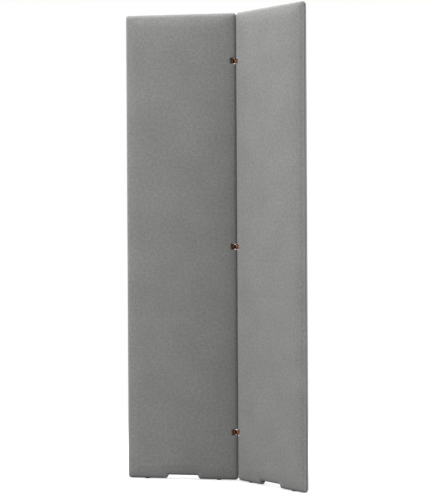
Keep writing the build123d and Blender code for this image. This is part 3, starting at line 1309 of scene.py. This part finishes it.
@dataclass(frozen=True)
class StudioCamera:
    """The camera at the photograph's viewing angle."""

    azimuth: float = 34.13
    distance: float = 6.521
    height: float = 0.891
    focal_pixels: float = 1865.2
    frame_height: float = 495.0
    sensor: float = 36.0
    yaw: float = 0.262
    pitch: float = -0.593
    roll: float = -0.312
    nearest: float = 0.05
    farthest: float = 100.0

    def build(self) -> None:
        """Stand the scene's camera on its circle round the object, turned by its three angles."""
        azimuth = np.radians(self.azimuth)
        heading = azimuth + np.radians(self.yaw)
        pitch, roll = np.radians(self.pitch), np.radians(self.roll)
        right = Vector((np.cos(heading), np.sin(heading), 0.0))
        ahead = Vector(
            (-np.sin(heading) * np.cos(pitch), np.cos(heading) * np.cos(pitch), np.sin(pitch))
        )
        up = right.cross(ahead)
        level_right = right * np.cos(roll) + up * np.sin(roll)
        level_up = up * np.cos(roll) - right * np.sin(roll)
        data = bpy.data.cameras.new("studio_camera")
        data.sensor_width = self.sensor
        data.lens = self.focal_pixels * self.sensor / self.frame_height
        data.clip_start, data.clip_end = self.nearest, self.farthest
        data.dof.use_dof = False
        made = bpy.data.objects.new("studio_camera", data)
        turned = Matrix((level_right, level_up, -ahead)).transposed()
        side, back = self.distance * np.sin(azimuth), -self.distance * np.cos(azimuth)
        place = Vector((side, back, self.height))
        made.matrix_world = Matrix.Translation(place) @ turned.to_4x4()
        bpy.context.scene.collection.objects.link(made)
        bpy.context.scene.camera = made


@dataclass(frozen=True)
class SoftLamp:
    """A square softbox aimed at a point."""

    name: str
    place: tuple[float, float, float]
    power: float
    size: float = 1.2
    aim: tuple[float, float, float] = (0.0, 0.0, 0.9)

    def build(self) -> None:
        """Hang the lamp at its place, facing its aim."""
        data = bpy.data.lights.new(self.name, "AREA")
        data.shape = "SQUARE"
        data.size = self.size
        data.energy = self.power
        made = bpy.data.objects.new(self.name, data)
        made.location = self.place
        towards = Vector(self.aim) - Vector(self.place)
        made.rotation_mode = "QUATERNION"
        made.rotation_quaternion = towards.to_track_quat("-Z", "Y")
        made.visible_camera = False
        bpy.context.scene.collection.objects.link(made)


def sees_background(tree: Tree) -> Node:
    """Add up the rays that show the background: camera, glossy and transmission rays.

    Args:
        tree: The node tree.

    Returns:
        A node that gives 1 for those rays and 0 for all others.
    """
    rays = add_node(tree, "LightPath").outputs
    pair = {0: rays["Is Glossy Ray"], 1: rays["Is Transmission Ray"]}
    sharp = add_node(tree, "Math", pair, operation="MAXIMUM")
    return add_node(tree, "Math", {0: rays["Is Camera Ray"], 1: sharp}, operation="MAXIMUM")


@dataclass(frozen=True)
class FloorPaint(Finish):
    """Matt white paint that shows the shadow near the object, and is plain white far from it.

    Rays that light the object see a greyer paint, so that the floor brightens it less.
    """

    name: str = "matt_white_floor"
    paint: str = "#E6E6E6"
    bounce: str = "#8A8A8A"
    glow: float = 0.42
    near_radius: float = 1.0
    far_radius: float = 2.4

    def surface(self, tree: Tree) -> Node:
        """Build the paint, blended into plain white from the near radius to the far one.

        Args:
            tree: The node tree.

        Returns:
            The shader.
        """
        place = add_node(tree, "TexCoord").outputs["Object"]
        distance = add_node(tree, "VectorMath", {0: place}, operation="LENGTH").outputs["Value"]
        span = {"Value": distance, "From Min": self.near_radius, "From Max": self.far_radius}
        far = add_node(tree, "MapRange", span, interpolation_type="SMOOTHSTEP")
        paint = add_node(tree, "BsdfDiffuse", {"Color": linear(self.paint)})
        bounce = add_node(tree, "BsdfDiffuse", {"Color": linear(self.bounce)})
        glow = add_node(tree, "Emission", {"Strength": self.glow})
        white = add_node(tree, "Emission", {"Strength": 1.0})
        lit = add_node(tree, "AddShader", {0: paint, 1: glow})
        seen = add_node(tree, "MixShader", {0: far, 1: lit, 2: white})
        return add_node(tree, "MixShader", {0: sees_background(tree), 1: bounce, 2: seen})


@dataclass(frozen=True)
class Studio:
    """The pale floor, the white background and the lamps."""

    floor_radius: float = 14.0
    inner_ring: float = 0.3
    rings: int = 14
    spokes: int = 65
    fill: float = 0.65
    lamps: tuple[SoftLamp, ...] = (
        SoftLamp("top_softbox", (0.0, -0.1, 3.1), 34.0),
        SoftLamp("side_softbox", (-2.68, -0.72, 2.0), 36.0),
        SoftLamp("key_softbox", (-2.3, -1.93, 1.7), 33.0),
        SoftLamp("edge_softbox", (3.16, -0.36, 1.5), 45.0),
    )

    def build(self) -> None:
        """Make the floor, the world and the lamps, and set the plain view."""
        self.build_floor()
        self.build_world()
        for lamp in self.lamps:
            lamp.build()
        bpy.context.scene.view_settings.view_transform = "Standard"

    def build_floor(self) -> None:
        """Lay a round floor as rings and spokes, level at z = 0, that keeps the shadow."""
        rings = np.geomspace(self.inner_ring, self.floor_radius, self.rings)
        spread = np.concatenate([[0.0], rings])[:, None] / MM
        angles = np.linspace(0.0, 2 * np.pi, self.spokes)
        level = 0.0 * spread * angles
        points = np.stack([spread * np.cos(angles), spread * np.sin(angles), level], axis=-1)
        quads = grid_quads(*level.shape, flip=True)
        floor = welded_object("studio_floor", points, quads, points[..., :2])
        floor.data.materials.append(FloorPaint().material())

    def build_world(self) -> None:
        """Make the world white to the eye and in gloss, and a plain fill light elsewhere."""
        world = bpy.data.worlds.new("studio_world")
        world.use_nodes = True
        tree = world.node_tree
        tree.nodes.clear()
        fill, white = (
            add_node(tree, "Background", {"Color": WHITE, "Strength": strength})
            for strength in (self.fill, 1.0)
        )
        mixed = add_node(tree, "MixShader", {0: sees_background(tree), 1: fill, 2: white})
        add_node(tree, "OutputWorld", {"Surface": mixed})
        bpy.context.scene.world = world


# The leaves turn on the two hinge axes of the CAD model, by its angles
LEAVES = (
    Leaf("left", Face.OVER, turn=202.5, axis=(-17.4, 70.9878)),
    Leaf("right", Face.UNDER, turn=-22.5, axis=(17.4, 70.9878)),
)


def report(made: bpy.types.Object) -> None:
    """Log a finished piece and its number of faces."""
    log.info("%s: %d faces", made.name, len(made.data.polygons))


def main() -> None:
    """Build the studio and the screen in order."""
    logging.basicConfig(level=logging.INFO, format="%(name)s: %(message)s")
    StudioCamera().build()
    Studio().build()
    finishes = {
        "cloth": WoolCloth().material(),
        "seam": PlainFelt("sewn_cloth_edge", "#5A5A59", "#7B7B7A", 1.0).material(),
        "fleece": PlainFelt("polyester_fleece_wadding", "#C9C9C2", "#EFEFE8", 2.0).material(),
        "slab": PlainFelt("pressed_mineral_fibre", "#8F8B78", "#B9B49C", 1.5).material(),
        "nylon": MouldedPlastic("moulded_black_nylon", "#2B2B2B", "#383838", 0.5).material(),
        "bush": MouldedPlastic("self_lubricating_plastic", "#464646", "#555555", 0.4).material(),
        # Both copper colours are darkened as a painted reflection: they stand in for the dark
        # surroundings the polished metal mirrors
        "copper": PolishedMetal("polished_copper_plate", "#745039", "#4E3323", 0.22).material(),
        "steel": PolishedMetal("bright_zinc_plated_steel", "#C4C6C9", "#A9ABAF", 0.3).material(),
    }
    for leaf in LEAVES:
        smooth = Upholstery(leaf, step=11.0, notch_step=3.5, has_pockets=False)
        swelling = PaddingTrial(smooth).run()
        for face in Face:
            which = "front" if face is leaf.front else "back"
            cover = PaddedCover(leaf, face, f"{leaf.side}_{which}_cover_cloth")
            report(cover.build(swelling, finishes["cloth"]))
            pad = WaddingPad(leaf, face, f"{leaf.side}_{which}_wadding_pad")
            report(pad.build(finishes["fleece"]))
        report(SewnSeam(leaf).build(finishes["seam"]))
        HardParts(leaf).dress(finishes)
    for name in ("upper", "middle", "lower"):
        finish_node(f"{name}_hinge_link", finishes["copper"])


if __name__ == "__main__":
    main()
